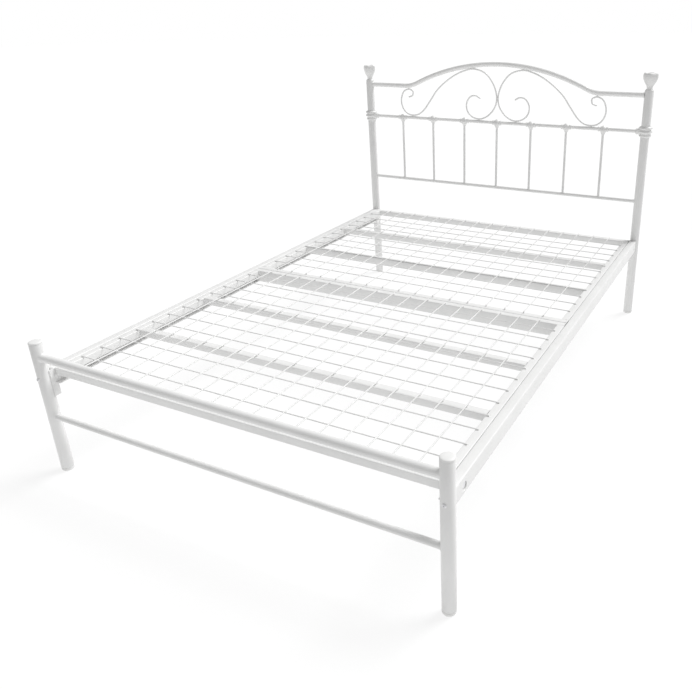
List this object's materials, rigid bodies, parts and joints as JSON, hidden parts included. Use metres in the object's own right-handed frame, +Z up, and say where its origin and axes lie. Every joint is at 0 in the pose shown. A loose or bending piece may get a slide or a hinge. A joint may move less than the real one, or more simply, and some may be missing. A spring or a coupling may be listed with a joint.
{
  "type": "metal bed frame",
  "caption": "White metal double bed frame with a scrolled headboard, a low footboard, bolted side rails and a wire mesh deck.",
  "frame": {"origin": "on the floor, under the middle of the bed's bounding box", "axes": "+Y from the foot to the head, +X to the right seen from the foot, +Z up"},
  "size_m": [1.424, 2.03, 1.1135],
  "materials": {
    "frame_paint": "semi-gloss white powder coat",
    "casting_paint": "semi-gloss white powder coat over castings",
    "wire_paint": "semi-gloss white powder coat over welded wire",
    "plastic": "moulded white plastic",
    "bolt_steel": "zinc plated"
  },
  "bodies": {
    "root": {"head_post_left": "frame_paint", "head_post_right": "frame_paint", "head_top_rail": "frame_paint", "head_middle_rail": "frame_paint", "head_lower_rail": "frame_paint", "foot_post_left": "frame_paint", "foot_post_right": "frame_paint", "foot_top_rail": "frame_paint", "foot_lower_rail": "frame_paint", "side_rail_left": "frame_paint", "side_rail_right": "frame_paint", "scroll_left": "frame_paint", "scroll_right": "frame_paint", "spindle_1": "frame_paint", "spindle_2": "frame_paint", "spindle_3": "frame_paint", "spindle_4": "frame_paint", "spindle_5": "frame_paint", "spindle_6": "frame_paint", "spindle_7": "frame_paint", "bracket_foot_right": "frame_paint", "bracket_foot_left": "frame_paint", "bracket_head_right": "frame_paint", "bracket_head_left": "frame_paint", "foot_deck_joint_bar": "frame_paint", "foot_deck_end_bar": "frame_paint", "foot_deck_cross_bar_1": "frame_paint", "foot_deck_cross_bar_2": "frame_paint", "foot_deck_side_bar_left": "frame_paint", "foot_deck_side_bar_right": "frame_paint", "head_deck_joint_bar": "frame_paint", "head_deck_end_bar": "frame_paint", "head_deck_cross_bar_1": "frame_paint", "head_deck_cross_bar_2": "frame_paint", "head_deck_side_bar_left": "frame_paint", "head_deck_side_bar_right": "frame_paint", "finial_left": "casting_paint", "finial_right": "casting_paint", "post_collar_left": "casting_paint", "post_collar_right": "casting_paint", "spindle_knuckle_1": "casting_paint", "spindle_knuckle_2": "casting_paint", "spindle_knuckle_3": "casting_paint", "spindle_knuckle_4": "casting_paint", "spindle_knuckle_5": "casting_paint", "spindle_knuckle_6": "casting_paint", "spindle_knuckle_7": "casting_paint", "foot_deck_mesh": "wire_paint", "head_deck_mesh": "wire_paint", "head_floor_glide_left": "plastic", "foot_floor_glide_left": "plastic", "foot_post_cap_left": "plastic", "head_floor_glide_right": "plastic", "foot_floor_glide_right": "plastic", "foot_post_cap_right": "plastic", "bolt_foot_right": "bolt_steel", "bolt_foot_left": "bolt_steel", "bolt_head_right": "bolt_steel", "bolt_head_left": "bolt_steel"}
  },
  "joints": []
}
